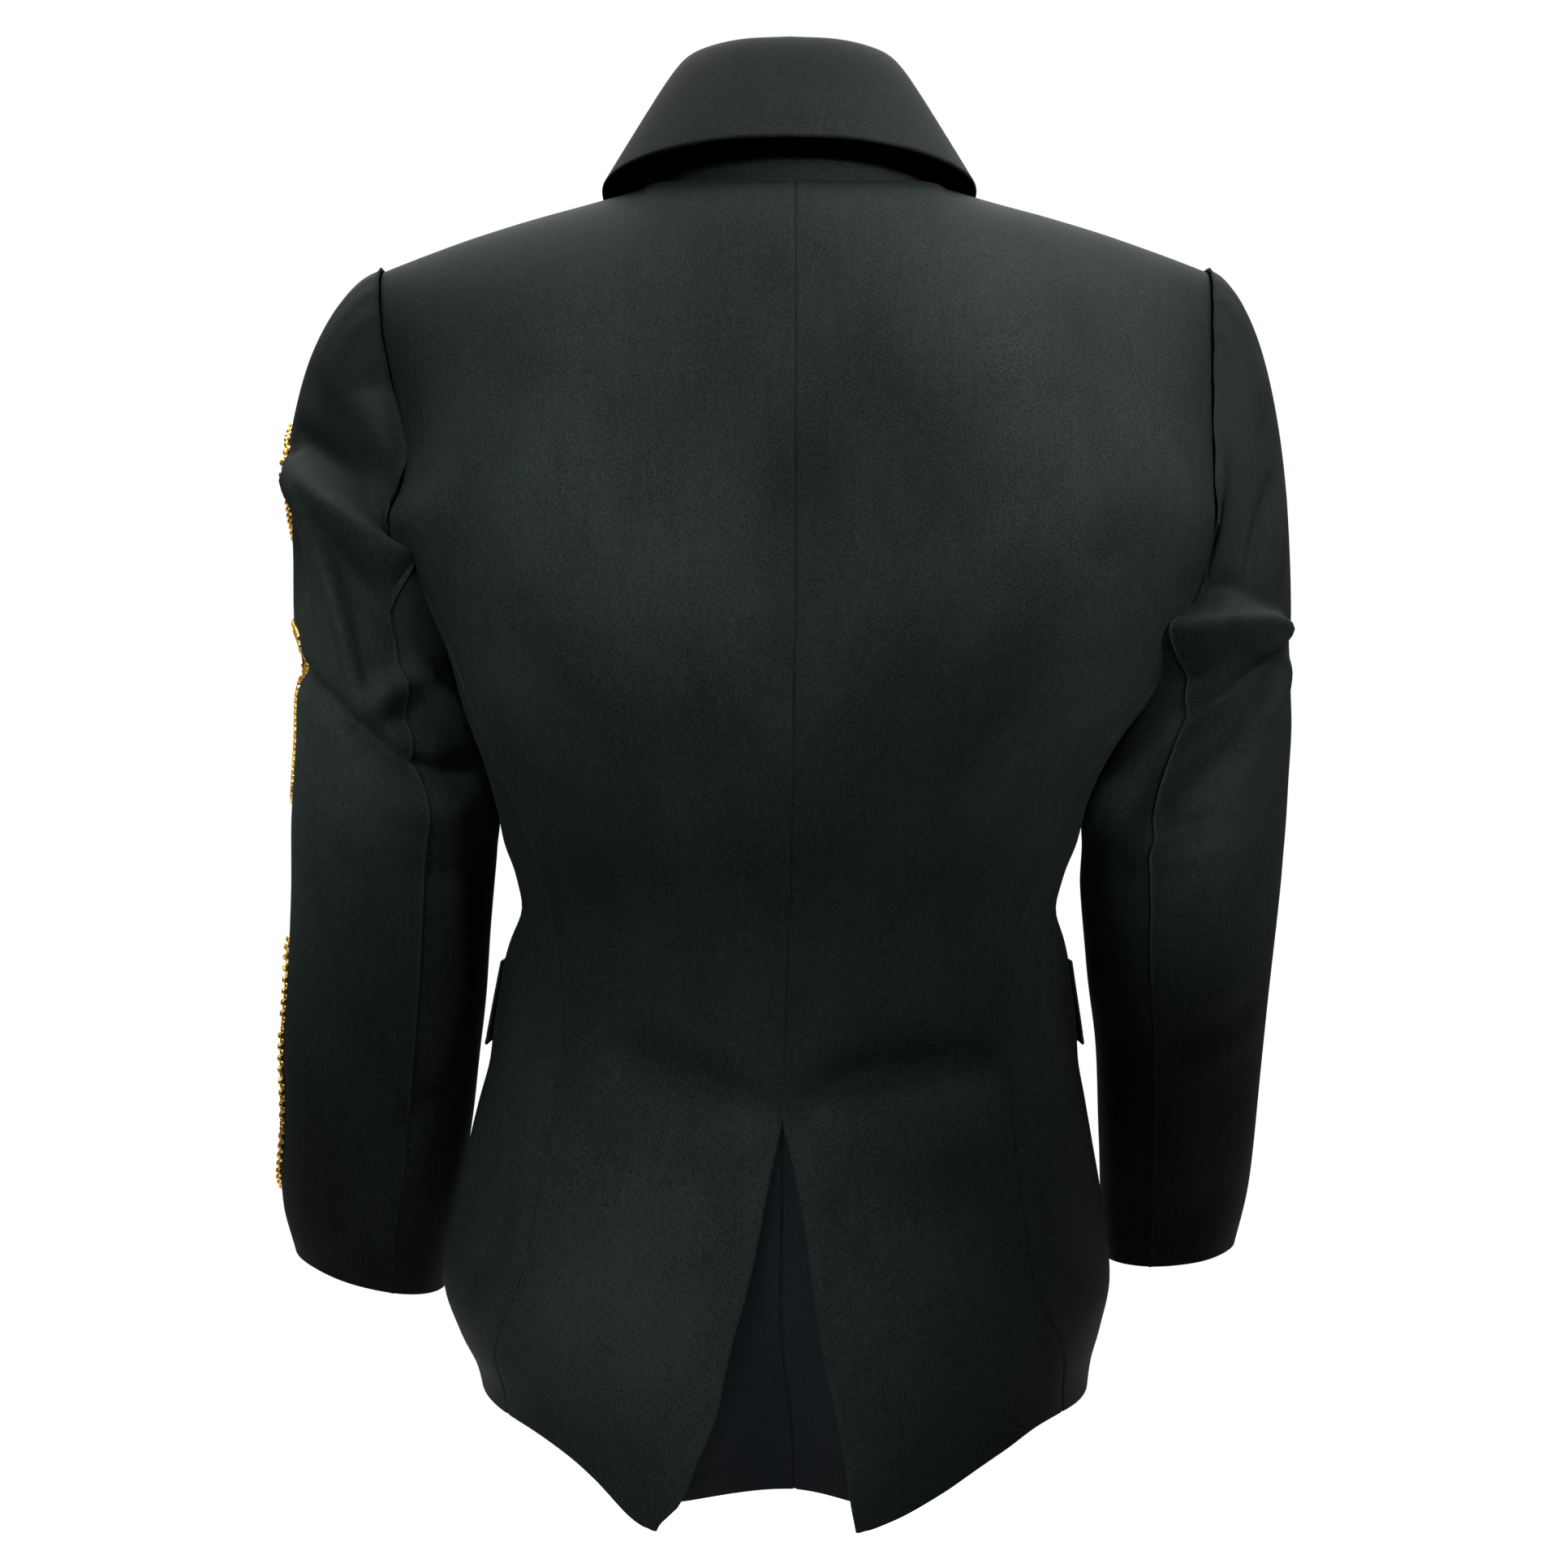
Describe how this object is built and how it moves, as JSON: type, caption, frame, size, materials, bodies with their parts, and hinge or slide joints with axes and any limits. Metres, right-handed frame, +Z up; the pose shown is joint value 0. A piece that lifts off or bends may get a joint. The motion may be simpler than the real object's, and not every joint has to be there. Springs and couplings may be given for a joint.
{
  "type": "tailored blazer with a beaded sleeve",
  "caption": "Tailored black blazer, filled out as if worn and hollow, with a fold-over collar, notched lapels, flap pockets, a back vent and beading down one sleeve.",
  "frame": {"origin": "middle of the neck, level with the neck seam at the centre back, where the wearer's shoulders carry it", "axes": "+Z up the centre back, -Y out of the front, +X to the wearer's left"},
  "size_m": [0.5373, 0.2367, 0.7226],
  "materials": {
    "suiting_cloth": "matt black fine twill",
    "underlay_cloth": "matt black fine twill, shaded",
    "button": "satin black",
    "gold_bead": "polished gold",
    "clear_crystal": "clear, faceted"
  },
  "bodies": {
    "root": {"back_left": "suiting_cloth", "back_right": "suiting_cloth", "side_body_left": "suiting_cloth", "side_body_right": "suiting_cloth", "front_left": "suiting_cloth", "front_right": "suiting_cloth", "lapel_left": "suiting_cloth", "lapel_right": "suiting_cloth", "collar_stand": "suiting_cloth", "collar_fall": "suiting_cloth", "upper_sleeve_left": "suiting_cloth", "upper_sleeve_right": "suiting_cloth", "under_sleeve_left": "suiting_cloth", "under_sleeve_right": "suiting_cloth", "pocket_flap_left": "suiting_cloth", "pocket_flap_right": "suiting_cloth", "vent_underlay_left": "underlay_cloth", "vent_underlay_right": "underlay_cloth", "front_button": "button"}
  },
  "joints": []
}
